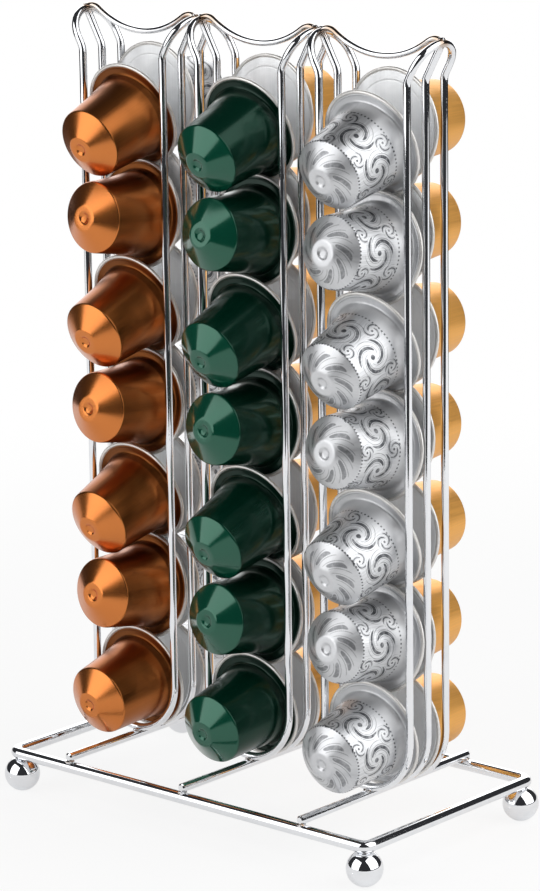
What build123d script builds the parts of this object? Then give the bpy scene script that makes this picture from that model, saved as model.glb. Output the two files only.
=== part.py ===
from build123d import *
import math
import os

# A free-standing coffee capsule holder of bent and spot-welded chrome wire.
# Three columns stand on one base frame. Each column is a double track, with a
# stack of capsules facing the front and a stack facing the back.
# Millimetres, +Z up, front towards -Y, origin on the table under the base.

# Capsule: the standard piece that every track is built round.
# Depths run along its axis from the middle of the rim towards the nose.
rim_diameter = 37.0
rim_bead_diameter = 1.2  # rolled edge of the rim
cup_wall = 0.4
neck_diameter = 29.2  # where the wall meets the rim
neck_depth = 2.2
throat_diameter = 28.2  # end of the flared neck
step_depth = 7.4  # soft step in the side wall
step_length = 1.0
step_drop = 0.25
shoulder_diameter = 23.6
shoulder_depth = 22.2
nose_diameter = 8.5
nose_depth = 26.9
dimple_diameter = 4.2
dimple_floor_diameter = 2.6
dimple_depth = 0.7
lid_thickness = 0.2
lid_edge_gap = 0.1  # between the foil and the rolled edge

# Stacks: in front every other capsule droops as far as its guide wires let it and
# the ones between lift their noses, and at the back they stand level, rims shingled
capsules_per_track = 7
guide_gap = 0.1  # rim to guide wire
rest_gap = 0.2  # lowest rim above the cross rod
nest_gap = 0.25  # between one capsule and the next in a stack
stack_gap = 1.0  # between the rims of the two stacks of a column

# Wires and balls
rail_wire = 4.0
rod_wire = 3.0
track_wire = 2.5
scallop_wire = 2.0
foot_diameter = 12.0
weld_sink = 0.1  # how deep two wires melt into each other
foot_weld_sink = 0.1

# Base frame, measured between wire centres
base_length = 155.0
base_width = 85.0
base_corner_radius = 3.0
foot_inset = 2.0  # ball centres inside the centre lines of the rails
rod_overhang = 0.8  # cross rod ends past the centre of the rail
rod_end_bevel = 0.5

# Tracks
column_names = ("left", "middle", "right")
column_pitch = 51.0
rim_past_wire = 0.75  # rim edge past the centre of its guide wires
row_spacing = 9.2  # front wires to centre wires, and centre to back
crest_headroom = 9.7  # from the top of the level stacks to the wire centre at the crests
arch_rise = 11.6  # from the bends, where the wires start to lean outwards, to the crests
bend_radius = 5.0
crest_gap = 0.2  # between the arches of neighbouring columns

# Top scallops, with ends that round over and are notched into the crests
scallop_dip = 6.85
scallop_seat = 1.2  # highest point of the scallop over the crest, between wire centres
scallop_inset = 2.5  # highest point of the scallop inside the crest
scallop_end_inset = 0.4  # cut end inside the crest
scallop_end_radius = 5.0

# Heights and half widths that follow from the sizes above. The balls sit a little
# inside the round corners of the rails, so they touch the wire off its lowest line.
corner_reach = max(0, base_corner_radius - foot_inset)
foot_offset = max(base_corner_radius, foot_inset) - math.sqrt(2) * corner_reach
foot_reach = (foot_diameter + rail_wire) / 2 - foot_weld_sink
rail_height = foot_diameter / 2 + math.sqrt(foot_reach**2 - foot_offset**2)
rod_height = rail_height + (rail_wire + rod_wire) / 2 - weld_sink
rod_top = rod_height + rod_wire / 2
cradle_height = rod_height + (rod_wire + track_wire) / 2 - weld_sink
track_half = rim_diameter / 2 - rim_past_wire
crest_half = (column_pitch - track_wire - crest_gap) / 2
lean_angle = math.degrees(math.atan2(crest_half - track_half, arch_rise))
lean_length = math.hypot(crest_half - track_half, arch_rise)
bend_tangent = bend_radius * math.tan(math.radians(lean_angle / 2))

# Capsule radii and the straight side wall, from the neck to the shoulder
rim_radius = rim_diameter / 2
bead_radius = rim_bead_diameter / 2
bead_circle = rim_radius - bead_radius
wall_slope = (throat_diameter - shoulder_diameter) / 2 / (shoulder_depth - neck_depth)
step_top = throat_diameter / 2 - wall_slope * (step_depth - neck_depth)
step_foot = step_top - wall_slope * step_length - step_drop

# The level back stack sets the height of the arches.
back_pitch = rim_radius + throat_diameter / 2 + nest_gap
back_top = rod_top + rest_gap + rim_diameter + (capsules_per_track - 1) * back_pitch
crest_height = back_top + crest_headroom
bend_height = crest_height - arch_rise

# A drooping rim tips until its flanks meet the front and centre wires. The lowest
# one tips half as far, because its bottom edge stays in front of the centre wire's
# foot, and the ones between lean back against the centre wires.
rim_play = row_spacing - track_wire - rim_bead_diameter - 2 * guide_gap
rim_flank = math.sqrt(rim_radius**2 - (track_half - track_wire / 2) ** 2)
wire_clearance = track_wire / 2 + guide_gap + bead_radius
droop = math.degrees(math.asin(rim_play / (2 * rim_flank)))
lowest_droop = droop / 2
nose_lift = droop / 4


def lean_point(side, depth, distance):
    """Point on a leaning leg, a distance above the bend's corner along the lean."""
    across = track_half + distance * math.sin(math.radians(lean_angle))
    height = bend_height + distance * math.cos(math.radians(lean_angle))
    return (side * across, depth, height)


def bend(side, depth):
    """The round bend between an upright leg and its lean, from the bottom up."""
    start = Vector(side * track_half, depth, bend_height - bend_tangent)
    end = Vector(*lean_point(side, depth, bend_tangent))
    half_turn = math.radians(lean_angle / 2)
    sideways = track_half + bend_radius * (1 - math.cos(half_turn))
    upwards = bend_height - bend_tangent + bend_radius * math.sin(half_turn)
    return ThreePointArc(start, (side * sideways, depth, upwards), end)


def cradle(depth):
    """The half round at the foot of a U, and the two upright legs up to the bends."""
    leg_foot = cradle_height + track_half
    leg_top = bend_height - bend_tangent
    return [
        Line((-track_half, depth, leg_top), (-track_half, depth, leg_foot)),
        ThreePointArc(
            (-track_half, depth, leg_foot),
            (0, depth, cradle_height),
            (track_half, depth, leg_foot),
        ),
        Line((track_half, depth, leg_foot), (track_half, depth, leg_top)),
    ]


def arch(side):
    """Round arch over one side of a column, from the front leg to the back leg."""
    spring = lean_length - row_spacing
    front = lean_point(side, -row_spacing, spring)
    back = lean_point(side, row_spacing, spring)
    return [
        Line(lean_point(side, -row_spacing, bend_tangent), front),
        ThreePointArc(front, lean_point(side, 0, lean_length), back),
        Line(back, lean_point(side, row_spacing, bend_tangent)),
    ]


def round_wire(edges, diameter):
    """Solid wire of a round section along a run of lines and arcs."""
    path = Wire(edges)
    section = Plane(origin=path @ 0, z_dir=path % 0) * Circle(diameter / 2)
    return sweep(section, path=path)


def make_hoop():
    """Closed loop: front U, right arch, back U, left arch."""
    edges = cradle(-row_spacing) + cradle(row_spacing)
    for side in (-1, 1):
        edges += [bend(side, -row_spacing), bend(side, row_spacing)]
        edges += arch(side)
    return round_wire(edges, track_wire)


def make_centre_wire(hoop):
    """U between the front and back legs, its ends butted under the two crests."""
    end_distance = lean_length - track_wire / 2 + weld_sink
    edges = cradle(0)
    for side in (-1, 1):
        edges.append(bend(side, 0))
        edges.append(Line(lean_point(side, 0, bend_tangent), lean_point(side, 0, end_distance)))
    return round_wire(edges, track_wire) - hoop


def make_scallop(hoop):
    """Wire that hangs between the crests, with its ends rounded over and let into them."""
    top = crest_height + scallop_seat
    top_across = crest_half - scallop_inset
    low = top - scallop_dip
    # The hanging arc and the two end arcs touch where the line of their centres runs.
    centre_distance = (top_across**2 + scallop_dip**2) / (2 * scallop_dip)
    hang_radius = centre_distance - scallop_end_radius
    swing = math.asin(top_across / centre_distance)
    meet_across = hang_radius * math.sin(swing)
    meet_height = low + hang_radius * (1 - math.cos(swing))
    past_top = scallop_inset - scallop_end_inset
    end_drop = scallop_end_radius - math.sqrt(scallop_end_radius**2 - past_top**2)
    edges = [ThreePointArc((-meet_across, 0, meet_height), (0, 0, low), (meet_across, 0, meet_height))]
    for side in (-1, 1):
        edges.append(
            ThreePointArc(
                (side * meet_across, 0, meet_height),
                (side * top_across, 0, top),
                (side * (top_across + past_top), 0, top - end_drop),
            )
        )
    return round_wire(edges, scallop_wire) - hoop


def make_rod():
    """Straight cross rod along Y, with its cut ends bevelled."""
    length = base_width + 2 * rod_overhang
    rod = Rot(90, 0, 0) * Cylinder(rod_wire / 2, length)
    ends = rod.edges().filter_by(GeomType.CIRCLE)
    return Pos(0, 0, rod_height) * chamfer(ends, rod_end_bevel)


def make_base_frame():
    """Ring of thick wire along a rectangle with tight corners."""
    outline = RectangleRounded(base_length, base_width, base_corner_radius)
    path = Pos(0, 0, rail_height) * outline.wire()
    return round_wire(path.edges(), rail_wire)


def make_cup():
    """Drawn cup with its axis along Z: rolled rim, flared neck, soft step, cone and nose."""
    outside = Polyline(
        (0, nose_depth - dimple_depth),
        (dimple_floor_diameter / 2, nose_depth - dimple_depth),
        (dimple_diameter / 2, nose_depth),
        (nose_diameter / 2, nose_depth),
        (shoulder_diameter / 2, shoulder_depth),
        (step_foot, step_depth + step_length),
        (step_top, step_depth),
        (throat_diameter / 2, neck_depth),
        (neck_diameter / 2, cup_wall / 2),
        (bead_circle, cup_wall / 2),
    )
    skin = make_face(offset(outside, cup_wall, kind=Kind.INTERSECTION, side=Side.RIGHT))
    bead = Pos(bead_circle, 0) * Circle(bead_radius)
    profile = Plane.XZ * (skin + bead)
    return revolve(profile, Axis.Z)


def make_lid():
    """Foil disc that seals the open side of a cup, inside the rolled edge."""
    radius = bead_circle - bead_radius - lid_edge_gap
    sheet = Cylinder(radius, lid_thickness, align=(Align.CENTER, Align.CENTER, Align.MAX))
    return Pos(0, 0, -cup_wall / 2) * sheet


def wall_radius(depth):
    """Outer radius of a cup's side wall at a depth from the rim."""
    radius = throat_diameter / 2 - wall_slope * (depth - neck_depth)
    if depth > step_depth + step_length:
        radius -= step_drop
    return radius


def rim_height(tilt):
    """Half the height of a rim that is tilted by an angle in degrees."""
    return bead_circle * math.cos(math.radians(tilt)) + bead_radius


def rim_reach(tilt):
    """How far a tilted rim stands out of the upright plane through its centre."""
    return bead_circle * math.sin(math.radians(tilt)) + bead_radius


def front_places(column):
    """Places of a front stack from the bottom up: one lowest, then lifted and drooped in turn."""
    drooped_depth = row_spacing / 2
    lift = math.radians(nose_lift)
    lifted_depth = wire_clearance + rim_flank * math.sin(lift)
    tilt = lowest_droop
    depth = row_spacing - wire_clearance - rim_flank * math.sin(math.radians(tilt))
    height = rod_top + rest_gap + rim_height(tilt)
    places = []
    for count in range(capsules_per_track):
        places.append(Pos(column, -depth, height) * Rot(90 + tilt, 0, 0))
        if count % 2 == 0:
            contact = depth + rim_reach(tilt) - lifted_depth
            belly = wall_radius(contact) * math.cos(lift) - contact * math.sin(lift)
            height += rim_height(tilt) + belly + nest_gap
            tilt = -nose_lift
            depth = lifted_depth
        else:
            height += rim_radius + neck_diameter / 2 + nest_gap
            tilt = droop
            depth = drooped_depth
    return places


def back_places(column):
    """Places of a back stack from the bottom up: level, each other rim at its neighbours' throats."""
    near_depth = rim_reach(droop) - row_spacing / 2 + stack_gap + bead_radius
    places = []
    for count in range(capsules_per_track):
        depth = near_depth + (neck_depth if count % 2 == 0 else 0)
        height = rod_top + rest_gap + rim_radius + count * back_pitch
        places.append(Pos(column, depth, height) * Rot(0, 0, 180) * Rot(90, 0, 0))
    return places


columns = {
    name: (index - (len(column_names) - 1) / 2) * column_pitch for index, name in enumerate(column_names)
}
stacks = {"front": front_places, "back": back_places}

hoop = make_hoop()
centre_wire = make_centre_wire(hoop)
scallop = make_scallop(hoop)
rod = make_rod() - hoop - centre_wire
cup = make_cup()
lid = make_lid()

pieces = {}
for name, across in columns.items():
    place = Pos(across, 0, 0)
    pieces[f"cross_rod_{name}"] = place * rod
    pieces[f"track_hoop_{name}"] = place * hoop
    pieces[f"centre_wire_{name}"] = place * centre_wire
    pieces[f"top_scallop_{name}"] = place * scallop
    for track, arrange in stacks.items():
        places = arrange(across)
        pieces[f"capsule_cups_{track}_{name}"] = Compound(children=[spot * cup for spot in places])
        pieces[f"capsule_lids_{track}_{name}"] = Compound(children=[spot * lid for spot in places])

base_frame = make_base_frame()
for name in columns:
    base_frame -= pieces[f"cross_rod_{name}"]
pieces["base_frame"] = base_frame

for depth_name, depth_side in (("front", -1), ("back", 1)):
    for side_name, side in (("left", -1), ("right", 1)):
        across = side * (base_length / 2 - foot_inset)
        depth = depth_side * (base_width / 2 - foot_inset)
        # The ball lies on its side, so that its poles stay clear of the weld.
        ball = Pos(across, depth, foot_diameter / 2) * Rot(90, 0, 0) * Sphere(foot_diameter / 2)
        pieces[f"foot_{depth_name}_{side_name}"] = ball - base_frame

os.makedirs("parts", exist_ok=True)
for node, solid in pieces.items():
    export_step(solid, f"parts/{node}.step")
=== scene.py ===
"""Looks of a coffee capsule holder: chrome wire rack with six stacks of capsules."""

import math
import random

import bmesh
import bpy
import numpy as np
from bpy.props import FloatProperty, FloatVectorProperty, IntProperty, PointerProperty
from bpy.types import Operator, Panel, PropertyGroup
from mathutils import Matrix, Vector


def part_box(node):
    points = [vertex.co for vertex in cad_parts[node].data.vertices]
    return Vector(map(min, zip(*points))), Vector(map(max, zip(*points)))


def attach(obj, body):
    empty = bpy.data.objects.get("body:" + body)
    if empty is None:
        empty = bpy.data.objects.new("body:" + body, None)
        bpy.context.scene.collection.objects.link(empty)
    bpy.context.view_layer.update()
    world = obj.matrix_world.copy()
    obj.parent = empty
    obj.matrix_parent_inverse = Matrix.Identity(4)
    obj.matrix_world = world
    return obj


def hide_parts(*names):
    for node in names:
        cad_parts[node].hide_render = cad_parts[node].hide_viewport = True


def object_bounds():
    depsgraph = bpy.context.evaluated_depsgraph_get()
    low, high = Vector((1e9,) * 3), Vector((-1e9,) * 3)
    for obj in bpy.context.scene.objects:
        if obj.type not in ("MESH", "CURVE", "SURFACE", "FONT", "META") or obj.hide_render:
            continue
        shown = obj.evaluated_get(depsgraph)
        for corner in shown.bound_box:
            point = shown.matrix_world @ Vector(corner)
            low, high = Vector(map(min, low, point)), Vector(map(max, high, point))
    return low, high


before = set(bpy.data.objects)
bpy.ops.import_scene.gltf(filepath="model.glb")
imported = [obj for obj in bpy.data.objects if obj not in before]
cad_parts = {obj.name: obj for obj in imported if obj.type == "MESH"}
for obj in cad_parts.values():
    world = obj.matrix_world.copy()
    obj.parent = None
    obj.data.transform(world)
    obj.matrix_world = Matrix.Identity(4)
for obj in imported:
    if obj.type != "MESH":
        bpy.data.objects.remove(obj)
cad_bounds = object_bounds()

bl_info = {
    "name": "Capsule Holder Looks",
    "version": (1, 0, 0),
    "blender": (4, 5, 0),
    "location": "View3D > Sidebar > Capsule Holder",
    "description": "Dresses the capsule holder's CAD frame: plating, welds, capsules and a stage",
    "category": "Object",
}

MM = 0.001
FULL_TURN = 2 * math.pi
CUP_SEED = 7
LID_SEED = 11
# Where the cone and the wall end, as shares of the way from the nose to the rim
CONE_END = 0.32
WALL_END = 0.79
# Where most of a noise's values lie
NOISE_SPAN = (0.3, 0.7)
COLUMNS = ("left", "middle", "right")
WIRE_NODES = ("cross_rod", "track_hoop", "centre_wire", "top_scallop")
FOOT_NODES = ("foot_front_left", "foot_front_right", "foot_back_left", "foot_back_right")
# Colour of the capsules in each track
TRACK_FINISH = {
    ("front", "left"): "copper",
    ("front", "middle"): "green",
    ("front", "right"): "silver",
    ("back", "left"): "silver",
    ("back", "middle"): "gold",
    ("back", "right"): "gold",
}
# How far painted shade darkens the wall's tint, how metallic the lacquer,
# how rough the cone and the wall, and how glossy the coat
LACQUERS = {
    "copper": dict(painted_wall_shade=0.55, metal=0.97, cone_rough=0.28, wall_rough=0.33, coat=0.15),
    "green": dict(painted_wall_shade=0.38, metal=0.5, cone_rough=0.18, wall_rough=0.24, coat=0.8),
    "gold": dict(painted_wall_shade=1.0, metal=0.74, cone_rough=0.34, wall_rough=0.42, coat=0.15),
}
# Width, depth and height of each kind of weld, as shares of the weld width and height
WELD_SHARES = {
    "hoop_on_rod": (1.15, 0.95, 1.0),
    "rod_on_rail": (1.0, 1.2, 1.0),
    "under_crest": (1.0, 1.05, 1.2),
    "over_crest": (0.9, 0.9, 0.9),
    "ball_on_rail": (1.5, 1.5, 1.0),
}
# Soft boxes: direction from the front and rise in degrees, width and height in metres, and watts
LAMPS = {
    "box_left": (-20, 24, (1.12, 1.15), 8.0),
    "box_right": (104, 34, (1.35, 1.5), 12.0),
    "box_back": (218, 22, (1.2, 0.9), 4.0),
}


def length(name, description, default):
    """A length setting, given in millimetres."""
    return FloatProperty(
        name=name, description=description, default=default * MM, min=0, unit="LENGTH"
    )


def metres(name, description, default):
    """A length setting of the stage, given in metres."""
    return FloatProperty(name=name, description=description, default=default, unit="LENGTH")


def colour(name, description, default):
    """A colour setting."""
    return FloatVectorProperty(
        name=name, description=description, default=default, size=3, min=0, max=1, subtype="COLOR"
    )


def share(name, description, default):
    """A setting between nothing and all."""
    return FloatProperty(
        name=name, description=description, default=default, min=0, max=1, subtype="FACTOR"
    )


def angle(name, description, default):
    """An angle setting, given in degrees."""
    return FloatProperty(
        name=name, description=description, default=math.radians(default), subtype="ANGLE"
    )


class RackLook(PropertyGroup):
    """Plating and welds of the wire rack."""

    plating: colour("Plating", "Tint of the chrome plating", (0.85, 0.86, 0.88))
    smoke: colour("Smoke", "Tint of the duller patches in the plating", (0.76, 0.78, 0.81))
    heat_tint: colour("Heat tint", "Straw brown left by welding", (0.42, 0.27, 0.15))
    roughness: share("Roughness", "Roughness of the bright plating", 0.035)
    haze: share("Haze", "Extra roughness of the duller patches", 0.07)
    weld_width: length("Weld width", "Width of a spot weld between two wires", 2.7)
    weld_height: length("Weld height", "Height of a spot weld between two wires", 1.3)
    weld_unevenness: share("Weld unevenness", "How lumpy the spot welds are", 0.12)
    heat_reach: length("Heat reach", "How far the heat tint runs from a crest weld", 4.0)


class CapsuleLook(PropertyGroup):
    """Shape and colours of the capsules. Depths run from the middle of the rim to the nose."""

    rim_diameter: length("Rim diameter", "Outer diameter of the rolled rim", 37.0)
    bead_diameter: length("Bead diameter", "Thickness of the rolled rim", 1.2)
    cup_wall: length("Cup wall", "Thickness of the cup's sheet", 0.4)
    neck_diameter: length("Neck diameter", "Where the wall meets the rim", 29.2)
    throat_diameter: length("Throat diameter", "End of the flared neck", 28.2)
    neck_depth: length("Neck depth", "Depth of the flared neck", 2.2)
    step_depth: length("Step depth", "Depth of the soft step in the wall", 7.4)
    step_length: length("Step length", "Length of the soft step", 1.0)
    step_drop: length("Step drop", "How far the wall steps in", 0.25)
    shoulder_diameter: length("Shoulder diameter", "Where the wall meets the cone", 23.6)
    shoulder_depth: length("Shoulder depth", "Depth of the shoulder", 22.2)
    nose_diameter: length("Nose diameter", "Flat end of the cone", 8.5)
    nose_depth: length("Nose depth", "Depth of the flat end", 26.9)
    dimple_diameter: length("Dimple diameter", "Dimple in the nose", 4.2)
    dimple_floor: length("Dimple floor", "Flat floor of the dimple", 2.6)
    dimple_depth: length("Dimple depth", "How deep the dimple is pressed", 0.7)
    lid_thickness: length("Lid thickness", "Thickness of the foil lid", 0.2)
    lid_edge_gap: length("Lid edge gap", "Between the foil and the rolled rim", 0.1)
    edge_radius: length("Edge radius", "Rounding of the pressed edges", 0.55)
    turns: IntProperty(name="Facets", description="Facets round a capsule", default=96, min=24)
    copper: colour("Copper", "Lacquer of the copper capsules", (0.7, 0.225, 0.055))
    green: colour("Green", "Lacquer of the green capsules", (0.002, 0.092, 0.05))
    silver: colour("Silver", "Metal of the silver capsules", (0.8, 0.81, 0.83))
    gold: colour("Gold", "Lacquer of the gold capsules", (0.88, 0.445, 0.11))
    ink: colour("Ink", "Printed whirls on the silver capsules", (0.09, 0.095, 0.105))
    bare_edge: colour("Bare edge", "Bare metal of the rolled rims", (0.88, 0.86, 0.83))
    foil: colour("Foil", "Metal of the lids", (0.92, 0.93, 0.94))


class StageLook(PropertyGroup):
    """Camera, floor and light."""

    azimuth: angle("Azimuth", "Camera direction, from the front towards the right", 41.084)
    elevation: angle("Elevation", "Camera height over the horizon", 13.639)
    roll: angle("Roll", "Camera roll", -0.764)
    distance: metres("Distance", "From the camera to the point that it looks at", 1.25914)
    lens: FloatProperty(
        name="Lens",
        description="Focal length in millimetres",
        default=155.15,
        subtype="DISTANCE_CAMERA",
    )
    target: FloatVectorProperty(
        name="Target",
        description="Point that the camera looks at",
        default=(0.00294, 0, 0.124587),
        unit="LENGTH",
    )
    floor_size: metres("Floor size", "Side of the floor", 8.0)
    floor: colour("Floor", "Colour of the floor", (0.9, 0.9, 0.9))
    backdrop: colour("Backdrop", "Colour of the surroundings", (1, 1, 1))
    sky_light: share("Sky light", "Strength of the soft light from all round", 0.22)
    floor_glow: share("Floor glow", "How far the floor's shadow is lifted towards white", 0.85)
    floor_in_metal: share("Floor in metal", "How much of that lift shows in the metal", 0.55)
    shadow_reach: metres("Shadow reach", "Distance past which the floor is plain white", 0.6)
    dark: colour("Dark", "Unlit room, seen in the metal only", (0.03, 0.031, 0.034))
    room_radius: metres("Room radius", "Distance of the unlit room", 1.6)
    screen_start: angle("Screen start", "Where the white screen behind begins, from the front", 183)
    screen_end: angle("Screen end", "Where the white screen behind ends, from the front", 253)
    screen_height: angle("Screen height", "Top of the white screen behind", 46)
    table_edge: metres("Table edge", "From the middle to the table's front and back edges", 0.52)
    table_turn: angle("Table turn", "Direction of the table's front edge, from the front", 27.5)
    lamp_distance: metres("Lamp distance", "From the soft boxes to the point that they face", 1.1)
    lamp_aim: metres("Lamp aim", "Height of the point that the soft boxes face", 0.1)


class Finish:
    """One procedural material, built node by node."""

    # Numbers of a mix node's colour sockets
    MIX_FIRST = 6
    MIX_SECOND = 7
    MIX_RESULT = 2

    def __init__(self, name):
        self.material = bpy.data.materials.new(name)
        self.material.use_nodes = True
        self.tree = self.material.node_tree
        self.surface = self.tree.nodes["Principled BSDF"]

    def plug(self, value, socket):
        """Links a node's output to a socket, or sets a constant on it."""
        if isinstance(value, bpy.types.NodeSocket):
            self.tree.links.new(value, socket)
        else:
            socket.default_value = value

    def node(self, kind, **settings):
        """A new node with some of its settings."""
        made = self.tree.nodes.new(kind)
        for key, value in settings.items():
            setattr(made, key, value)
        return made

    def math(self, operation, *values):
        """The result of a math node."""
        made = self.node("ShaderNodeMath", operation=operation)
        for value, socket in zip(values, made.inputs):
            self.plug(value, socket)
        return made.outputs[0]

    def fade(self, value, low, high, at_low=0.0, at_high=1.0):
        """Runs smoothly from one value to another as the input goes from low to high."""
        made = self.node("ShaderNodeMapRange", interpolation_type="SMOOTHSTEP")
        for given, socket in zip((value, low, high, at_low, at_high), made.inputs):
            self.plug(given, socket)
        return made.outputs[0]

    def mix(self, factor, first, second):
        """Mixes two colours."""
        made = self.node("ShaderNodeMix", data_type="RGBA")
        self.plug(factor, made.inputs["Factor"])
        for given, number in ((first, self.MIX_FIRST), (second, self.MIX_SECOND)):
            if not isinstance(given, bpy.types.NodeSocket):
                given = (*given, 1)
            self.plug(given, made.inputs[number])
        return made.outputs[self.MIX_RESULT]

    def noise(self, place, scale, detail=2.0):
        """Soft noise at a place."""
        made = self.node("ShaderNodeTexNoise")
        self.plug(place, made.inputs["Vector"])
        made.inputs["Scale"].default_value = scale
        made.inputs["Detail"].default_value = detail
        return made.outputs[0]

    def point(self, x, y, z):
        """A vector from three values."""
        made = self.node("ShaderNodeCombineXYZ")
        for value, socket in zip((x, y, z), made.inputs):
            self.plug(value, socket)
        return made.outputs[0]

    def place(self):
        """Place on the piece, and its three values."""
        where = self.node("ShaderNodeTexCoord").outputs["Object"]
        return where, self.split(where)

    def split(self, vector):
        """The three values of a vector."""
        made = self.node("ShaderNodeSeparateXYZ")
        self.plug(vector, made.inputs[0])
        return made.outputs

    def lathe_place(self):
        """Turn round the axis, way along the profile and the capsule's own number."""
        where = self.node("ShaderNodeUVMap", uv_map="lathe").outputs[0]
        number = self.node("ShaderNodeAttribute", attribute_name="capsule").outputs["Fac"]
        turn, along, _ = self.split(where)
        return turn, along, number

    def bump(self, height, strength, distance):
        """Presses a height into the surface."""
        made = self.node("ShaderNodeBump")
        made.inputs["Strength"].default_value = strength
        made.inputs["Distance"].default_value = distance
        self.plug(height, made.inputs["Height"])
        self.plug(made.outputs[0], self.surface.inputs["Normal"])

    def set(self, **values):
        """Sets or links inputs of the surface, named with _ for a space."""
        for key, value in values.items():
            socket = self.surface.inputs[key.replace("_", " ")]
            self.plug(value, socket)


def dimmed(tint, part):
    """A colour at a part of its brightness."""
    return tuple(value * part for value in tint)


def heat_marks(finish, look, y, z, patches):
    """Mask of the straw-brown marks round the crest welds."""
    core_share = 0.25
    top = cad_bounds[1][2]
    mark_low = top - 5 * MM
    mark_high = top - 2 * MM
    patch_range = (0.3, 0.6)
    patch_strength = (0.2, 0.8)
    core = look.heat_reach * core_share
    near = finish.fade(finish.math("ABSOLUTE", y), core, look.heat_reach, 1, 0)
    high = finish.fade(z, mark_low, mark_high)
    uneven = finish.fade(patches, *patch_range, *patch_strength)
    return finish.math("MULTIPLY", finish.math("MULTIPLY", near, high), uneven)


def plating_finish(look, name, heat=True):
    """Chrome plating with smoky patches, fine wear and straw-brown heat marks."""
    patch_scale = 140
    patch_detail = 4
    patch_range = (0.5, 0.85)
    wear_scale = 1500
    wear_detail = 3
    wear_range = (0.45, 0.8)
    ripple_scale = 420
    ripple_strength = 0.02
    ripple_depth = 0.1 * MM
    finish = Finish(name)
    where, (_, y, z) = finish.place()
    patches = finish.noise(where, patch_scale, patch_detail)
    wear = finish.noise(where, wear_scale, wear_detail)
    tint = finish.mix(finish.fade(patches, *patch_range), tuple(look.plating), tuple(look.smoke))
    if heat:
        tint = finish.mix(heat_marks(finish, look, y, z, patches), tint, tuple(look.heat_tint))
    rough = finish.math("MULTIPLY_ADD", finish.fade(wear, *wear_range), look.haze, look.roughness)
    finish.set(Base_Color=tint, Metallic=1.0, Roughness=rough)
    finish.bump(finish.noise(where, ripple_scale), ripple_strength, ripple_depth)
    return finish.material


def weld_finish(look):
    """Plated weld metal: lumpy, duller and browned."""
    lump_scale = 900
    lump_detail = 4
    lump_strength = 0.25
    lump_depth = 0.15 * MM
    browned_range = (0.42, 0.68)
    roughness = (0.1, 0.26)
    finish = Finish("weld_metal")
    where, _ = finish.place()
    lumps = finish.noise(where, lump_scale, lump_detail)
    tint = finish.mix(finish.fade(lumps, *browned_range), tuple(look.smoke), tuple(look.heat_tint))
    finish.set(Base_Color=tint, Metallic=1.0, Roughness=finish.fade(lumps, *NOISE_SPAN, *roughness))
    finish.bump(lumps, lump_strength, lump_depth)
    return finish.material


def drawn_out_noise(finish, across, across_scale, along, along_scale, number):
    """Noise that is finer one way than the other, and different on each capsule."""
    place_across = finish.math("MULTIPLY", across, across_scale)
    place_along = finish.math("MULTIPLY", along, along_scale)
    return finish.noise(finish.point(place_across, place_along, number), 1.0)


def brushing(finish, turn, along, number):
    """Fine drawing lines that run from the rim to the nose."""
    lines_round = 220.0
    lines_along = 2.0
    return drawn_out_noise(finish, turn, lines_round, along, lines_along, number)


def lacquer_finish(name, tint, painted_wall_shade, metal, cone_rough, wall_rough, coat):
    """Tinted lacquer over drawn aluminium: bright cone, duller wall; painted shade on wall and
    flange.
    """
    edge_blur = 0.01
    painted_flange_shade = 0.5
    streak_share = 0.08
    streak_rough = (0.91, 1.09)
    wall_coat_share = 0.2
    coat_rough = 0.12
    shine = 0.25
    line_strength = 0.01
    line_depth = 0.05 * MM
    finish = Finish(name)
    turn, along, number = finish.lathe_place()
    lines = brushing(finish, turn, along, number)
    # Painted shade: the wall's tint is darkened, and past the wall the flange's darker still
    wall = dimmed(tint, painted_wall_shade)
    drawn = finish.fade(along, CONE_END - edge_blur, CONE_END + edge_blur)
    past_wall = finish.fade(along, WALL_END - edge_blur, WALL_END + edge_blur)
    lacquer = finish.mix(drawn, tuple(tint), wall)
    lacquer = finish.mix(past_wall, lacquer, dimmed(wall, painted_flange_shade))
    streak = finish.math("MULTIPLY", finish.fade(lines, *NOISE_SPAN), drawn)
    dulled = finish.fade(drawn, 0, 1, cone_rough, wall_rough)
    finish.set(
        Base_Color=finish.mix(streak, finish.mix(streak_share, lacquer, (0, 0, 0)), lacquer),
        Metallic=metal,
        Roughness=finish.math("MULTIPLY", dulled, finish.fade(streak, 0, 1, *streak_rough)),
        Coat_Weight=finish.fade(drawn, 0, 1, coat, coat * wall_coat_share),
        Coat_Roughness=coat_rough,
        Specular_IOR_Level=shine,
    )
    finish.bump(finish.math("MULTIPLY", lines, drawn), line_strength, line_depth)
    return finish.material


def strokes(finish, wave, band):
    """Curled strokes on the crests of a wave, each with a fine line beside it, inside a band."""
    heavy_range = (1.35, 1.6)
    fine_shift = 0.3
    fine_width = (0.1, 0.3)
    fine_range = (0.3, 0.7)
    fine_ink = 0.7
    heavy = finish.fade(finish.math("MULTIPLY", finish.math("ADD", wave, 1.0), band), *heavy_range)
    off_line = finish.math("ABSOLUTE", finish.math("ADD", wave, fine_shift))
    beside = finish.fade(off_line, *fine_width, 1, 0)
    fine = finish.math("MULTIPLY", beside, finish.fade(band, *fine_range, 0, fine_ink))
    return finish.math("MAXIMUM", heavy, fine)


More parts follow.
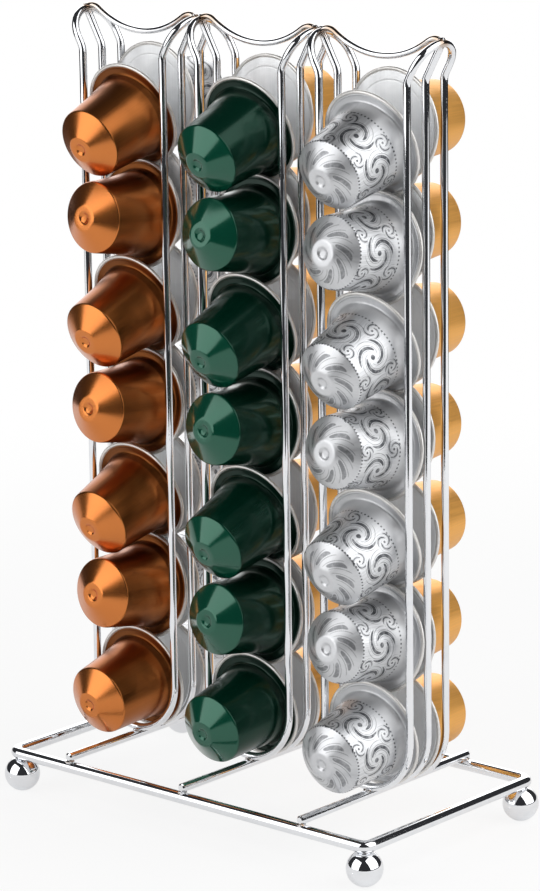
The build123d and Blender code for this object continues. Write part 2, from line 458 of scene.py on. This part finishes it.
def whirl_row(finish, turn, along, number, shift, centre, span):
    """A row of whirls of curled arms, each round an eye, turning left and right by turns."""
    count = 6
    arms = 3.0
    curl_rate = 11.0
    cell_width = 0.31
    capsule_shift = 0.37
    eye = (0.04, 0.055)
    inner_end = (0.06, 0.16)
    outer_end = (0.28, 0.44)
    cell = finish.math("MULTIPLY_ADD", turn, count, shift)
    cell = finish.math("MULTIPLY_ADD", number, capsule_shift, cell)
    off_middle = finish.math("SUBTRACT", finish.math("FRACT", cell), 0.5)
    x = finish.math("MULTIPLY", off_middle, cell_width / span)
    y = finish.math("DIVIDE", finish.math("SUBTRACT", along, centre), span)
    reach = finish.math("SQRT", finish.math("MULTIPLY_ADD", x, x, finish.math("MULTIPLY", y, y)))
    every_other = finish.math("MODULO", finish.math("FLOOR", cell), 2.0)
    hand = finish.math("MULTIPLY_ADD", every_other, 2.0, -1.0)
    wound = finish.math("MULTIPLY", reach, hand)
    curl = finish.math("MULTIPLY_ADD", wound, curl_rate, finish.math("ARCTAN2", y, x))
    wave = finish.math("COSINE", finish.math("MULTIPLY", curl, arms))
    inside = finish.fade(reach, *outer_end, 1, 0)
    band = finish.math("MULTIPLY", finish.fade(reach, *inner_end), inside)
    return finish.math("MAXIMUM", strokes(finish, wave, band), finish.fade(reach, *eye, 1, 0))


def whirls(finish, turn, along, number):
    """Mask of the print: whirls on the wall, swept strokes on the cone and dots along each edge."""
    # Shift, middle and height of each row of whirls
    rows = ((0.0, 0.515, 0.42), (0.5, 0.37, 0.2), (0.5, 0.655, 0.2))
    sweep_count = 8
    sweep_lean = 44.0
    sweep_ink = 0.7
    sweep_start = (0.1, 0.16)
    sweep_stop = (0.24, 0.29)
    dot_count = 64
    dot_length = (0.0, 0.4)
    dot_width = (0.005, 0.009)
    dot_rows = (CONE_END, 0.715)
    round_cone = finish.math("MULTIPLY", turn, sweep_count * FULL_TURN)
    sweep = finish.math("COSINE", finish.math("MULTIPLY_ADD", along, sweep_lean, round_cone))
    on_cone = finish.fade(along, *sweep_stop, 1, 0)
    on_cone = finish.math("MULTIPLY", finish.fade(along, *sweep_start), on_cone)
    mark = finish.math("MULTIPLY", strokes(finish, sweep, on_cone), sweep_ink)
    for shift, centre, span in rows:
        row = whirl_row(finish, turn, along, number, shift, centre, span)
        mark = finish.math("MAXIMUM", mark, row)
    round_wall = finish.math("COSINE", finish.math("MULTIPLY", turn, dot_count * FULL_TURN))
    dots = finish.fade(round_wall, *dot_length)
    for edge in dot_rows:
        off_row = finish.math("ABSOLUTE", finish.math("SUBTRACT", along, edge))
        on_row = finish.fade(off_row, *dot_width, 1, 0)
        mark = finish.math("MAXIMUM", mark, finish.math("MULTIPLY", on_row, dots))
    return mark


def printed_finish(look):
    """Bare drawn aluminium with a print of grey whirls; painted shade on cone and rim-side wall."""
    deep_share = 0.8
    painted_wall_shade = 0.72
    wall_range = (0.55, 0.8)
    painted_cone_shade = 0.78
    cone_strength = 0.7
    cone_blur = 0.02
    wear_scale = 700
    wear_detail = 3
    wear_range = (0.3, 0.6)
    wear_ink = (0.65, 1.0)
    metal_share = 0.85
    roughness = (0.34, 0.46)
    coat = 0.25
    coat_rough = 0.18
    line_strength = 0.04
    line_depth = 0.05 * MM
    finish = Finish("printed_silver")
    turn, along, number = finish.lathe_place()
    lines = brushing(finish, turn, along, number)
    deep = dimmed(look.silver, deep_share)
    metal = finish.mix(finish.fade(lines, *NOISE_SPAN), deep, tuple(look.silver))
    # Painted shade: the metal is darkened on the wall towards the rim and on the cone
    metal = finish.mix(finish.fade(along, *wall_range), metal, dimmed(look.silver, painted_wall_shade))
    on_cone = finish.fade(along, CONE_END - cone_blur, CONE_END, cone_strength, 0)
    metal = finish.mix(on_cone, metal, dimmed(look.silver, painted_cone_shade))
    where, _ = finish.place()
    wear = finish.fade(finish.noise(where, wear_scale, wear_detail), *wear_range, *wear_ink)
    inked = finish.math("MULTIPLY", whirls(finish, turn, along, number), wear)
    finish.set(
        Base_Color=finish.mix(inked, metal, tuple(look.ink)),
        Metallic=metal_share,
        Roughness=finish.fade(lines, *NOISE_SPAN, *roughness),
        Coat_Weight=coat,
        Coat_Roughness=coat_rough,
    )
    finish.bump(lines, line_strength, line_depth)
    return finish.material


def edge_finish(look):
    """Bare rolled rim with fine rolling marks."""
    marks_round = 90.0
    marks_along = 240.0
    mark_range = (0.35, 0.7)
    dull_share = 0.8
    metal_share = 0.75
    roughness = (0.3, 0.42)
    finish = Finish("bare_rim")
    turn, along, number = finish.lathe_place()
    marks = drawn_out_noise(finish, turn, marks_round, along, marks_along, number)
    dull = dimmed(look.bare_edge, dull_share)
    finish.set(
        Base_Color=finish.mix(finish.fade(marks, *mark_range), dull, tuple(look.bare_edge)),
        Metallic=metal_share,
        Roughness=finish.fade(marks, *NOISE_SPAN, *roughness),
    )
    return finish.material


def foil_finish(look):
    """Foil lid: rolling lines, small wrinkles and a knurled seal band."""
    rolled_across = 1400.0
    rolled_along = 60.0
    rolled_range = (0.35, 0.7)
    rolled_height = 0.2
    wrinkle_scale = 260
    wrinkle_detail = 3
    seal_start = (0.8, 0.82)
    seal_stop = (0.95, 0.97)
    knurl_count = 150
    knurl_height = 0.3
    dull_share = 0.96
    metal_share = 0.6
    roughness = (0.34, 0.46)
    relief_strength = 0.28
    relief_depth = 0.12 * MM
    finish = Finish("lid_foil")
    turn, along, number = finish.lathe_place()
    where, (x, _, z) = finish.place()
    rolled = drawn_out_noise(finish, x, rolled_across, z, rolled_along, number)
    wrinkle = finish.noise(where, wrinkle_scale, wrinkle_detail)
    before_edge = finish.fade(along, *seal_stop, 1, 0)
    seal = finish.math("MULTIPLY", finish.fade(along, *seal_start), before_edge)
    teeth = finish.math("SINE", finish.math("MULTIPLY", turn, knurl_count * FULL_TURN))
    knurl = finish.math("MULTIPLY", teeth, seal)
    dull = dimmed(look.foil, dull_share)
    finish.set(
        Base_Color=finish.mix(finish.fade(rolled, *rolled_range), dull, tuple(look.foil)),
        Metallic=metal_share,
        Roughness=finish.fade(wrinkle, *NOISE_SPAN, *roughness),
    )
    height = finish.math("MULTIPLY_ADD", rolled, rolled_height, wrinkle)
    height = finish.math("MULTIPLY_ADD", knurl, knurl_height, height)
    finish.bump(height, relief_strength, relief_depth)
    return finish.material


def capsule_finish(look, kind):
    """The finish of one colour of capsule."""
    if kind == "silver":
        return printed_finish(look)
    return lacquer_finish(f"lacquer_{kind}", getattr(look, kind), **LACQUERS[kind])


def dress(node, material):
    """Gives a CAD node its finish."""
    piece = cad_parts[node]
    piece.data.materials.clear()
    piece.data.materials.append(material)


def show(name, mesh, body):
    """Puts a new mesh in the scene and lets it ride on a body."""
    piece = bpy.data.objects.new(name, mesh)
    bpy.context.scene.collection.objects.link(piece)
    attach(piece, body)
    return piece


def loose_parts(mesh):
    """Corner points of each loose part of a mesh."""
    same_point = 0.001 * MM
    work = bmesh.new()
    work.from_mesh(mesh)
    bmesh.ops.remove_doubles(work, verts=work.verts, dist=same_point)
    waiting = set(work.verts)
    parts = []
    while waiting:
        edge = [waiting.pop()]
        points = []
        while edge:
            vert = edge.pop()
            points.append(tuple(vert.co))
            for link in vert.link_edges:
                other = link.other_vert(vert)
                if other in waiting:
                    waiting.remove(other)
                    edge.append(other)
        parts.append(np.array(points))
    work.free()
    return parts


def capsule_places(track, column, look):
    """Frames of a stack's capsules from the bottom up, from its CAD lids. Z runs to the nose."""
    towards = Vector((0, -1, 0)) if track == "front" else Vector((0, 1, 0))
    places = []
    for points in loose_parts(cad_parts[f"capsule_lids_{track}_{column}"].data):
        middle = (points.min(axis=0) + points.max(axis=0)) / 2
        # A lid is thinnest along its axis
        axis = Vector(np.linalg.svd(points - points.mean(axis=0))[2][2])
        if axis.dot(towards) < 0:
            axis.negate()
        across = Vector((1, 0, 0))
        turned = Matrix((across, axis.cross(across), axis)).transposed().to_4x4()
        rim = Vector(middle) + axis * (look.cup_wall + look.lid_thickness) / 2
        places.append(Matrix.Translation(rim) @ turned)
    places.sort(key=lambda place: place.translation.z)
    return places


def rounded(corners, steps=5):
    """A profile whose corners (radius, depth, rounding) are rounded off."""
    longest_share = 0.45
    profile = []
    for index, (radius, depth, rounding) in enumerate(corners):
        corner = Vector((radius, depth))
        if rounding == 0 or index in (0, len(corners) - 1):
            profile.append(corner)
            continue
        before = Vector(corners[index - 1][:2]) - corner
        after = Vector(corners[index + 1][:2]) - corner
        cut = min(rounding, before.length * longest_share, after.length * longest_share)
        start = corner + before.normalized() * cut
        end = corner + after.normalized() * cut
        for step in range(steps + 1):
            way = step / steps
            profile.append(start * (1 - way) ** 2 + corner * 2 * way * (1 - way) + end * way**2)
    return profile


def cup_profile(look):
    """Outside of a cup from the nose to the rim, and the first point of its rolled rim."""
    soft_share = 1.6
    dimple_edge_share = 0.7
    neck_edge_share = 1.6
    ridge_edge_share = 0.5
    ridge_foot_share = 2.2
    ridge_top_share = 1.7
    ridge_height_share = 0.25
    tuck_share = 1.6
    roll_start = math.radians(160)
    roll_turn = math.radians(-300)
    roll_steps = 16
    bead = look.bead_diameter / 2
    bead_circle = look.rim_diameter / 2 - bead
    taper = (look.throat_diameter - look.shoulder_diameter) / 2
    slope = taper / (look.shoulder_depth - look.neck_depth)
    soft = look.step_length * soft_share
    step_start = look.step_depth - soft
    step_end = look.step_depth + look.step_length + soft
    step_top = look.throat_diameter / 2 - slope * (step_start - look.neck_depth)
    step_foot = look.throat_diameter / 2 - slope * (step_end - look.neck_depth) - look.step_drop
    face = look.cup_wall / 2
    edge = look.edge_radius
    neck_edge = edge * neck_edge_share
    ridge_edge = edge * ridge_edge_share
    pressed_depth = look.nose_depth - look.dimple_depth
    body = rounded(
        [
            (0, pressed_depth, 0),
            (look.dimple_floor / 2, pressed_depth, edge),
            (look.dimple_diameter / 2, look.nose_depth, edge * dimple_edge_share),
            (look.nose_diameter / 2, look.nose_depth, edge),
            (look.shoulder_diameter / 2, look.shoulder_depth, edge),
            (step_foot, step_end, soft),
            (step_top, step_start, soft),
            (look.throat_diameter / 2, look.neck_depth, neck_edge),
            (look.neck_diameter / 2, face, neck_edge),
            (bead_circle - bead * ridge_foot_share, face, ridge_edge),
            (bead_circle - bead * ridge_top_share, face + bead * ridge_height_share, ridge_edge),
            (bead_circle - bead, face, 0),
        ]
    )
    rim_start = len(body)
    for step in range(roll_steps + 1):
        swing = roll_start + roll_turn * step / roll_steps
        body.append(Vector((bead_circle + bead * math.cos(swing), bead * math.sin(swing))))
    body.append(Vector((bead_circle - bead * tuck_share, -face)))
    return body, rim_start


def lid_profile(look):
    """Foil lid from the middle of its outer face round to the inner face."""
    press_share = 0.5
    middle_press_share = 0.4
    dish_share = 0.5
    dish_press_share = 0.5
    dish_edge_share = 0.3
    ring_start_share = 0.94
    ring_press_share = 0.6
    ring_share = 0.97
    inner = -look.cup_wall / 2
    outer = -(look.cup_wall / 2 + look.lid_thickness)
    edge = look.rim_diameter / 2 - look.bead_diameter - look.lid_edge_gap
    seat = look.neck_diameter / 2
    press = look.lid_thickness * press_share
    return rounded(
        [
            (0, outer + press * middle_press_share, 0),
            (seat * dish_share, outer + press * dish_press_share, seat * dish_edge_share),
            (seat * ring_start_share, outer + press * ring_press_share, press),
            (seat * ring_share, outer + press, press),
            (seat, outer, press),
            (edge - press, outer, press),
            (edge, outer + press, press),
            (edge, inner, 0),
            (0, inner, 0),
        ]
    )


def turned_stack(name, profile, places, turns, rim_start, chance):
    """One mesh of a profile turned at every place, with a lathe map and the capsule's number."""
    same_point = 0.0005 * MM
    count = len(profile)
    run = [0.0]
    for first, second in zip(profile, profile[1:]):
        run.append(run[-1] + (second - first).length)
    verts = []
    faces = []
    maps = []
    kinds = []
    numbers = []
    for index, place in enumerate(places):
        number = index + chance.random()
        start_turn = chance.random()
        base = len(verts)
        for turn in range(turns):
            swing = FULL_TURN * (turn / turns + start_turn)
            for point in profile:
                spun = Vector((point.x * math.cos(swing), point.x * math.sin(swing), point.y))
                verts.append(place @ spun)
                numbers.append(number)
        for turn in range(turns):
            here = base + turn * count
            there = base + (turn + 1) % turns * count
            for step in range(count - 1):
                corners = [here + step, here + step + 1, there + step + 1, there + step]
                spots = [(turn, step), (turn, step + 1), (turn + 1, step + 1), (turn + 1, step)]
                faces.append(corners)
                kinds.append(1 if rim_start is not None and step >= rim_start - 1 else 0)
                maps += [(across / turns, run[along] / run[-1]) for across, along in spots]
    mesh = bpy.data.meshes.new(name)
    mesh.from_pydata(verts, [], faces)
    layer = mesh.uv_layers.new(name="lathe")
    layer.data.foreach_set("uv", np.array(maps, dtype=np.float32).ravel())
    numbered = mesh.attributes.new("capsule", "FLOAT", "POINT")
    numbered.data.foreach_set("value", np.array(numbers, dtype=np.float32))
    mesh.polygons.foreach_set("material_index", np.array(kinds, dtype=np.int32))
    clean = bmesh.new()
    clean.from_mesh(mesh)
    bmesh.ops.remove_doubles(clean, verts=clean.verts, dist=same_point)
    bmesh.ops.recalc_face_normals(clean, faces=clean.faces)
    clean.to_mesh(mesh)
    clean.free()
    mesh.shade_smooth()
    return mesh


def weld_spot(work, place, size, chance, unevenness):
    """Adds one lumpy spot of weld metal to a mesh in the making."""
    lumps_across = 5
    lumps_deep = 4
    lumps_up = 6
    up_share = 0.5
    shift_span = 40
    spot = bmesh.ops.create_icosphere(work, subdivisions=3, radius=0.5)
    shift = Vector((chance.random(), chance.random(), chance.random())) * shift_span
    for vert in spot["verts"]:
        way = vert.co.normalized()
        lump = math.sin(lumps_across * way.x + shift.x) * math.sin(lumps_deep * way.y + shift.y)
        lump += math.sin(lumps_up * way.z + shift.z) * up_share
        grown = vert.co * (1 + unevenness * lump)
        vert.co = Vector(place) + Vector((grown.x * size[0], grown.y * size[1], grown.z * size[2]))


def weld_mesh(name, spots, look, seed):
    """One mesh of all the weld spots (place, size) of a group."""
    chance = random.Random(seed)
    work = bmesh.new()
    for place, size in spots:
        weld_spot(work, place, size, chance, look.weld_unevenness)
    mesh = bpy.data.meshes.new(name)
    work.to_mesh(mesh)
    work.free()
    mesh.shade_smooth()
    return mesh


class CAPSULE_HOLDER_OT_plate_wires(Operator):
    """Plate the base frame, rods, hoops, centre wires and scallops"""

    bl_idname = "capsule_holder.plate_wires"
    bl_label = "Plate the Wires"

    def execute(self, context):
        material = plating_finish(context.scene.holder_rack, "chrome_wire_plating")
        dress("base_frame", material)
        for node in WIRE_NODES:
            for column in COLUMNS:
                dress(f"{node}_{column}", material)
        return {"FINISHED"}


class CAPSULE_HOLDER_OT_plate_feet(Operator):
    """Plate the four ball feet"""

    bl_idname = "capsule_holder.plate_feet"
    bl_label = "Plate the Feet"

    def execute(self, context):
        material = plating_finish(context.scene.holder_rack, "chrome_ball_plating", heat=False)
        for node in FOOT_NODES:
            dress(node, material)
        return {"FINISHED"}


class CAPSULE_HOLDER_OT_add_welds(Operator):
    """Add the spot welds where wires, rods, rails and balls meet"""

    bl_idname = "capsule_holder.add_welds"
    bl_label = "Add the Welds"

    def execute(self, context):
        look = context.scene.holder_rack
        material = weld_finish(look)
        for seed, column in enumerate(COLUMNS):
            mesh = weld_mesh(f"welds_{column}", self.column_spots(column, look), look, seed)
            mesh.materials.append(material)
            show(f"welds_{column}", mesh, "rack")
        mesh = weld_mesh("welds_feet", self.foot_spots(look), look, len(COLUMNS))
        mesh.materials.append(material)
        show("welds_feet", mesh, "rack")
        return {"FINISHED"}

    def weld_size(self, look, kind):
        """Width, depth and height of one kind of weld."""
        across_share, deep_share, up_share = WELD_SHARES[kind]
        wide = look.weld_width
        return wide * across_share, wide * deep_share, look.weld_height * up_share

    def foot_spots(self, look):
        """Welds on top of the balls."""
        sunk_share = 0.2
        spots = []
        for node in FOOT_NODES:
            low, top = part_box(node)
            middle = (low + top) / 2
            place = (middle.x, middle.y, top.z - look.weld_height * sunk_share)
            spots.append((place, self.weld_size(look, "ball_on_rail")))
        return spots

    def column_spots(self, column, look):
        """Welds of one column: hoops on rod, rod on rails, wires under and over the crests."""
        inward_share = 0.3
        rod_low, rod_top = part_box(f"cross_rod_{column}")
        hoop_low, hoop_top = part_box(f"track_hoop_{column}")
        wire_low, wire_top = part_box(f"centre_wire_{column}")
        rail_low, rail_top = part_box("base_frame")
        middle = (rod_low.x + rod_top.x) / 2
        wire_wide = wire_top.y - wire_low.y
        rail_wide = rail_top.z - rail_low.z
        crest = hoop_top.z - wire_wide / 2
        spots = []
        for depth in (hoop_low.y + wire_wide / 2, 0, hoop_top.y - wire_wide / 2):
            spots.append(((middle, depth, rod_top.z), self.weld_size(look, "hoop_on_rod")))
        for depth in (rail_low.y + rail_wide / 2, rail_top.y - rail_wide / 2):
            spots.append(((middle, depth, rod_low.z), self.weld_size(look, "rod_on_rail")))
        for across in (hoop_low.x + wire_wide / 2, hoop_top.x - wire_wide / 2):
            inwards = math.copysign(wire_wide * inward_share, middle - across)
            under = (across + inwards, 0, crest - wire_wide / 2)
            spots.append((under, self.weld_size(look, "under_crest")))
            spots.append(((across, 0, hoop_top.z), self.weld_size(look, "over_crest")))
        return spots


class CAPSULE_HOLDER_OT_add_cups(Operator):
    """Turn the lacquered cups of the six stacks"""

    bl_idname = "capsule_holder.add_cups"
    bl_label = "Add the Cups"

    def execute(self, context):
        look = context.scene.holder_capsules
        profile, rim_start = cup_profile(look)
        finishes = {kind: capsule_finish(look, kind) for kind in sorted(set(TRACK_FINISH.values()))}
        edge = edge_finish(look)
        chance = random.Random(CUP_SEED)
        for (track, column), kind in TRACK_FINISH.items():
            places = capsule_places(track, column, look)
            name = f"cups_{track}_{column}"
            mesh = turned_stack(name, profile, places, look.turns, rim_start, chance)
            mesh.materials.append(finishes[kind])
            mesh.materials.append(edge)
            piece = show(name, mesh, f"stack_{track}_{column}")
            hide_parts(f"capsule_cups_{track}_{column}")
        return {"FINISHED"}


class CAPSULE_HOLDER_OT_add_lids(Operator):
    """Press the foil lids of the six stacks"""

    bl_idname = "capsule_holder.add_lids"
    bl_label = "Add the Lids"

    def execute(self, context):
        look = context.scene.holder_capsules
        profile = lid_profile(look)
        foil = foil_finish(look)
        chance = random.Random(LID_SEED)
        for track, column in TRACK_FINISH:
            places = capsule_places(track, column, look)
            name = f"lids_{track}_{column}"
            mesh = turned_stack(name, profile, places, look.turns, None, chance)
            mesh.materials.append(foil)
            piece = show(name, mesh, f"stack_{track}_{column}")
            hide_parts(f"capsule_lids_{track}_{column}")
        return {"FINISHED"}


def direction(swing, rise):
    """Unit vector turned from the front towards the right, and raised."""
    flat = math.cos(rise)
    return Vector((math.sin(swing) * flat, -math.cos(swing) * flat, math.sin(rise)))


class CAPSULE_HOLDER_OT_set_stage(Operator):
    """Set up the floor, the light and the camera"""

    bl_idname = "capsule_holder.set_stage"
    bl_label = "Set the Stage"

    def execute(self, context):
        look = context.scene.holder_stage
        context.scene.view_settings.view_transform = "Standard"
        self.add_floor(context, look)
        self.add_surroundings(context, look)
        self.add_dark_room(context, look)
        self.add_lamps(context, look)
        self.add_camera(context, look)
        return {"FINISHED"}

    def add_floor(self, context, look):
        """A plain pale floor."""
        cloud_scale = 30
        cloud_detail = 3
        cloud_share = 0.985
        floor_rough = 0.9
        half = look.floor_size / 2
        corners = [(-half, -half, 0), (half, -half, 0), (half, half, 0), (-half, half, 0)]
        mesh = bpy.data.meshes.new("floor")
        mesh.from_pydata(corners, [], [(0, 1, 2, 3)])
        finish = Finish("floor_paint")
        where, _ = finish.place()
        clouds = finish.noise(where, cloud_scale, cloud_detail)
        paint = finish.mix(clouds, dimmed(look.floor, cloud_share), tuple(look.floor))
        finish.set(Base_Color=paint, Roughness=floor_rough, Specular_IOR_Level=0.0)
        self.lift_floor(finish, where, look)
        mesh.materials.append(finish.material)
        floor = bpy.data.objects.new("floor", mesh)
        context.scene.collection.objects.link(floor)

    def lift_floor(self, finish, where, look):
        """Lifts the floor towards white where it is seen, and leaves a faint shadow."""
        near_share = 0.4
        glow = finish.node("ShaderNodeEmission")
        away = finish.node("ShaderNodeVectorMath", operation="LENGTH")
        finish.plug(where, away.inputs[0])
        near = look.shadow_reach * near_share
        lift = finish.fade(away.outputs["Value"], near, look.shadow_reach, look.floor_glow, 1)
        seen = self.seen_rays(finish.tree, look.floor_in_metal)
        blend = finish.node("ShaderNodeMixShader")
        finish.plug(finish.math("MULTIPLY", seen, lift), blend.inputs["Fac"])
        finish.plug(finish.surface.outputs[0], blend.inputs[1])
        finish.plug(glow.outputs[0], blend.inputs[2])
        finish.plug(blend.outputs[0], finish.tree.nodes["Material Output"].inputs["Surface"])

    def seen_rays(self, tree, in_metal=1.0):
        """One for rays from the eye, straight or through glass, and a share by way of metal."""
        rays = tree.nodes.new("ShaderNodeLightPath")
        metal = tree.nodes.new("ShaderNodeMath")
        metal.operation = "MULTIPLY"
        tree.links.new(rays.outputs["Is Glossy Ray"], metal.inputs[0])
        metal.inputs[1].default_value = in_metal
        seen = rays.outputs["Is Camera Ray"]
        for other in (metal.outputs[0], rays.outputs["Is Transmission Ray"]):
            either = tree.nodes.new("ShaderNodeMath")
            either.operation = "MAXIMUM"
            tree.links.new(seen, either.inputs[0])
            tree.links.new(other, either.inputs[1])
            seen = either.outputs[0]
        return seen

    def add_surroundings(self, context, look):
        """White all round, for the eye and in the metal, and a softer light from it."""
        world = bpy.data.worlds.new("surroundings")
        world.use_nodes = True
        # Light from all round comes by a surface's own rays, so the unlit room can shade the metal
        world.cycles.sampling_method = "NONE"
        tree = world.node_tree
        background = tree.nodes["Background"]
        background.inputs["Color"].default_value = (*look.backdrop, 1)
        level = tree.nodes.new("ShaderNodeMapRange")
        tree.links.new(self.seen_rays(tree), level.inputs["Value"])
        level.inputs["To Min"].default_value = look.sky_light
        level.inputs["To Max"].default_value = 1.0
        tree.links.new(level.outputs[0], background.inputs["Strength"])
        context.scene.world = world

    def add_dark_room(self, context, look):
        """The unlit room, seen only in the metal: a dome, and the floor past the table's edges."""
        verts, faces = self.dome_shape(look)
        self.add_table_edges(look, verts, faces)
        mesh = bpy.data.meshes.new("dark_room")
        mesh.from_pydata(verts, [], faces)
        material = bpy.data.materials.new("dark_room")
        material.use_nodes = True
        tree = material.node_tree
        tree.nodes.clear()
        glow = tree.nodes.new("ShaderNodeEmission")
        glow.inputs["Color"].default_value = (*look.dark, 1)
        output = tree.nodes.new("ShaderNodeOutputMaterial")
        tree.links.new(glow.outputs[0], output.inputs["Surface"])
        mesh.materials.append(material)
        dome = bpy.data.objects.new("dark_room", mesh)
        context.scene.collection.objects.link(dome)
        dome.visible_camera = False
        dome.visible_diffuse = False
        dome.visible_shadow = False
        dome.visible_transmission = False

    def dome_shape(self, look):
        """Points and faces of a dome that is open where the white screen stands."""
        across_steps = 120
        up_steps = 30
        top_rise = math.radians(89)
        verts = []
        faces = []
        for up in range(up_steps + 1):
            rise = top_rise * up / up_steps
            for across in range(across_steps):
                verts.append(direction(FULL_TURN * across / across_steps, rise) * look.room_radius)
        for up in range(up_steps):
            rise = top_rise * (up + 0.5) / up_steps
            for across in range(across_steps):
                swing = FULL_TURN * (across + 0.5) / across_steps
                if rise < look.screen_height and look.screen_start < swing < look.screen_end:
                    continue
                here = up * across_steps + across
                there = up * across_steps + (across + 1) % across_steps
                faces.append((here, there, there + across_steps, here + across_steps))
        return verts, faces

    def add_table_edges(self, look, verts, faces):
        """Adds the dark floor past the table's front and back edges."""
        clear = Vector((0, 0, MM))
        for turn in (look.table_turn, look.table_turn + math.pi):
            out = direction(turn, 0)
            along = Vector((-out.y, out.x, 0)) * 2 * look.room_radius
            corner = len(verts)
            for far, side in ((0, -1), (0, 1), (1, 1), (1, -1)):
                reach = look.table_edge + far * look.room_radius
                verts.append(out * reach + along * side + clear)
            faces.append((corner, corner + 1, corner + 2, corner + 3))

    def add_lamps(self, context, look):
        """Soft boxes either side of the camera and behind."""
        aim = Vector((0, 0, look.lamp_aim))
        for name, (swing, rise, size, watts) in LAMPS.items():
            data = bpy.data.lights.new(name, "AREA")
            data.shape = "RECTANGLE"
            data.size, data.size_y = size
            data.energy = watts
            lamp = bpy.data.objects.new(name, data)
            out = direction(math.radians(swing), math.radians(rise))
            lamp.location = aim + out * look.lamp_distance
            lamp.rotation_euler = (-out).to_track_quat("-Z", "Y").to_euler()
            lamp.visible_camera = False
            context.scene.collection.objects.link(lamp)

    def add_camera(self, context, look):
        """The camera the photograph was taken from."""
        back = direction(look.azimuth, look.elevation)
        right = Vector((math.cos(look.azimuth), math.sin(look.azimuth), 0))
        up = back.cross(right)
        rolled_right = right * math.cos(look.roll) + up * math.sin(look.roll)
        rolled_up = up * math.cos(look.roll) - right * math.sin(look.roll)
        data = bpy.data.cameras.new("camera")
        data.lens = look.lens
        camera = bpy.data.objects.new("camera", data)
        turned = Matrix((rolled_right, rolled_up, back)).transposed().to_4x4()
        eye = Vector(look.target) + back * look.distance
        camera.matrix_world = Matrix.Translation(eye) @ turned
        context.scene.collection.objects.link(camera)
        context.scene.camera = camera


class CAPSULE_HOLDER_PT_panel(Panel):
    """Settings and steps of the capsule holder"""

    bl_label = "Capsule Holder"
    bl_space_type = "VIEW_3D"
    bl_region_type = "UI"
    bl_category = "Capsule Holder"

    def draw(self, context):
        scene = context.scene
        for step in STEPS:
            self.layout.operator(step.bl_idname)
        for group in (scene.holder_rack, scene.holder_capsules, scene.holder_stage):
            box = self.layout.box()
            for key in group.bl_rna.properties.keys():
                if key not in ("rna_type", "name"):
                    box.prop(group, key)


STEPS = (
    CAPSULE_HOLDER_OT_plate_wires,
    CAPSULE_HOLDER_OT_plate_feet,
    CAPSULE_HOLDER_OT_add_welds,
    CAPSULE_HOLDER_OT_add_cups,
    CAPSULE_HOLDER_OT_add_lids,
    CAPSULE_HOLDER_OT_set_stage,
)
CLASSES = (RackLook, CapsuleLook, StageLook, *STEPS, CAPSULE_HOLDER_PT_panel)


def register():
    for item in CLASSES:
        bpy.utils.register_class(item)
    bpy.types.Scene.holder_rack = PointerProperty(type=RackLook)
    bpy.types.Scene.holder_capsules = PointerProperty(type=CapsuleLook)
    bpy.types.Scene.holder_stage = PointerProperty(type=StageLook)


def unregister():
    del bpy.types.Scene.holder_stage
    del bpy.types.Scene.holder_capsules
    del bpy.types.Scene.holder_rack
    for item in reversed(CLASSES):
        bpy.utils.unregister_class(item)


def main():
    register()
    bpy.ops.capsule_holder.plate_wires()
    bpy.ops.capsule_holder.plate_feet()
    bpy.ops.capsule_holder.add_welds()
    bpy.ops.capsule_holder.add_cups()
    bpy.ops.capsule_holder.add_lids()
    bpy.ops.capsule_holder.set_stage()


if __name__ == "__main__":
    main()
